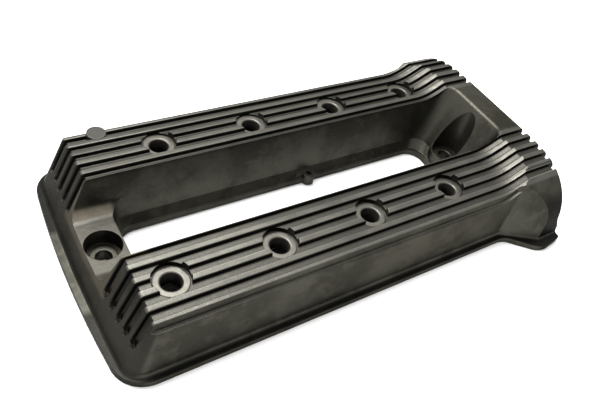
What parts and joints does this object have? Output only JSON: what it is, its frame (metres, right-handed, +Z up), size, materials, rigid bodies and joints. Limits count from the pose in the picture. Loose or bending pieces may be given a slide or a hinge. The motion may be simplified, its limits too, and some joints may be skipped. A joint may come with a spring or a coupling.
{
  "type": "engine valve cover",
  "caption": "Cast aluminium valve cover for a twin-cam engine: two ribbed hollow banks, an open valley window between them and a taller chain end.",
  "frame": {"origin": "centre of the bounding box on the gasket face", "axes": "+X along the camshafts towards the tall chain end, +Z up from the gasket face, +Y across towards the bank whose bolt row stands further forward"},
  "size_m": [0.4575, 0.2828, 0.073],
  "materials": {
    "cast_aluminium": "satin as-cast, with bright rubbed ribs"
  },
  "bodies": {
    "root": {"valve_cover": "cast_aluminium"}
  },
  "joints": []
}
